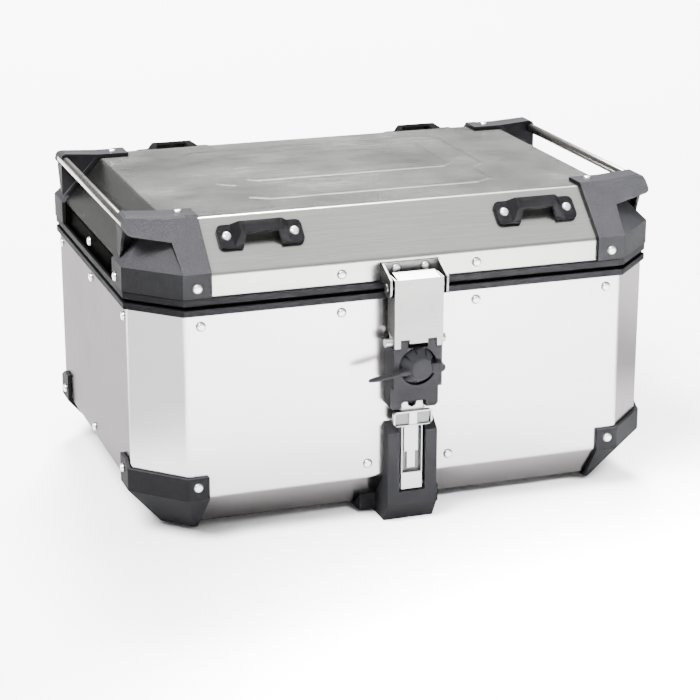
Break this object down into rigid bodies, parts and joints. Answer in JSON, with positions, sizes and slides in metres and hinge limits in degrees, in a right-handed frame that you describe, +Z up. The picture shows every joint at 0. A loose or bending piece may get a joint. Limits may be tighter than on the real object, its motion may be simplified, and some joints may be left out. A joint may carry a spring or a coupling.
{
  "type": "top case",
  "caption": "Motorcycle top case: riveted aluminium tub and hinged lid with nylon corners, side rails, strap loops, a locking hasp and a rack release lever.",
  "frame": {"origin": "centre of the rack plate's underside, the plane that the case stands on", "axes": "+X to the right and +Y to the back, seen from the latch side; +Z up"},
  "size_m": [0.5734, 0.4623, 0.332],
  "materials": {
    "base_shell": "satin natural anodised sheet",
    "lid_shell": "satin natural anodised sheet",
    "rim_nylon": "fine-grained glass-filled nylon",
    "corner_nylon": "fine-grained glass-filled nylon",
    "loop_nylon": "fine-grained glass-filled nylon",
    "lock_nylon": "fine-grained glass-filled nylon",
    "rail_metal": "satin drawn tube",
    "rivet_metal": "bright pressed head",
    "latch_steel": "satin stainless sheet",
    "hinge_steel": "satin stainless",
    "cylinder_steel": "plated",
    "zinc_steel": "zinc plated",
    "cap_rubber": "matt moulded rubber",
    "seal_rubber": "soft foam rubber",
    "stay_webbing": "flat woven webbing"
  },
  "bodies": {
    "case": {"base_shell": "base_shell", "lower_rim": "rim_nylon", "corner_guard_front_left": "corner_nylon", "corner_guard_front_right": "corner_nylon", "corner_guard_rear_left": "corner_nylon", "corner_guard_rear_right": "corner_nylon", "rack_plate": "lock_nylon", "lever_housing": "lock_nylon", "lock_body": "lock_nylon", "hinge_leaf_tub_left": "hinge_steel", "hinge_leaf_tub_right": "hinge_steel", "hinge_pin_left": "hinge_steel", "hinge_pin_right": "hinge_steel", "lever_pin": "hinge_steel", "lever_spring": "hinge_steel", "lock_backing_plate": "zinc_steel", "rack_backing_plate": "zinc_steel", "dust_cap_anchor": "cap_rubber", "stay_anchor_tub_left": "hinge_steel", "stay_anchor_tub_right": "hinge_steel", "lid_stay_left": "stay_webbing", "lid_stay_right": "stay_webbing", "rivet_tub_top_1": "rivet_metal", "rivet_tub_top_2": "rivet_metal", "rivet_tub_top_3": "rivet_metal", "rivet_tub_top_4": "rivet_metal", "rivet_tub_low_1": "rivet_metal", "rivet_tub_low_2": "rivet_metal", "rivet_guard_side_left": "rivet_metal", "rivet_guard_side_right": "rivet_metal"},
    "lid": {"lid_shell": "lid_shell", "upper_rim": "rim_nylon", "lid_seal": "seal_rubber", "lid_corner_front_left": "corner_nylon", "lid_corner_front_right": "corner_nylon", "lid_corner_rear_left": "corner_nylon", "lid_corner_rear_right": "corner_nylon", "rail_left": "rail_metal", "rail_right": "rail_metal", "tie_down_loop_front_left": "loop_nylon", "tie_down_loop_front_right": "loop_nylon", "tie_down_loop_rear_left": "loop_nylon", "tie_down_loop_rear_right": "loop_nylon", "latch_bracket": "latch_steel", "latch_pivot_pin": "latch_steel", "hinge_leaf_lid_left": "hinge_steel", "hinge_leaf_lid_right": "hinge_steel", "stay_anchor_lid_left": "hinge_steel", "stay_anchor_lid_right": "hinge_steel", "rivet_lid_front_1": "rivet_metal", "rivet_lid_front_2": "rivet_metal", "rivet_bracket_1": "rivet_metal", "rivet_bracket_2": "rivet_metal"},
    "latch": {"latch_plate": "latch_steel", "latch_hook": "zinc_steel"},
    "key_cylinder": {"lock_cylinder": "cylinder_steel", "lock_cam": "zinc_steel"},
    "dust_cap": {"dust_cap": "cap_rubber"},
    "lever": {"release_lever": "zinc_steel"},
    "catch": {"rack_catch": "zinc_steel"}
  },
  "joints": [
    {"name": "lid_hinge", "type": "hinge", "parent": "case", "child": "lid", "pos_m": [0, 0.214, 0.2486], "axis": [-1, 0, 0], "range_deg": [0, 95]},
    {"name": "latch_pivot", "type": "hinge", "parent": "lid", "child": "latch", "pos_m": [0, -0.2249, 0.2554], "axis": [-1, 0, 0], "range_deg": [0, 110]},
    {"name": "key_turn", "type": "hinge", "parent": "case", "child": "key_cylinder", "pos_m": [0, -0.2204, 0.173], "axis": [0, -1, 0], "range_deg": [0, 90]},
    {"name": "dust_cap_flip", "type": "hinge", "parent": "case", "child": "dust_cap", "pos_m": [0.02005, -0.2393, 0.17175], "axis": [0, 0, 1], "range_deg": [0, 110], "stiffness_Nm_per_rad": 0.01},
    {"name": "release_lever_pivot", "type": "hinge", "parent": "case", "child": "lever", "pos_m": [0, -0.2114, 0.04], "axis": [1, 0, 0], "range_deg": [0, 50], "stiffness_Nm_per_rad": 0.3},
    {"name": "catch_slide", "type": "slide", "parent": "case", "child": "catch", "axis": [0, 1, 0], "range_m": [0, 0.006]}
  ],
  "couplings": [
    {"joint": "catch_slide", "follows": "release_lever_pivot", "m_per_rad": 0.0068}
  ]
}
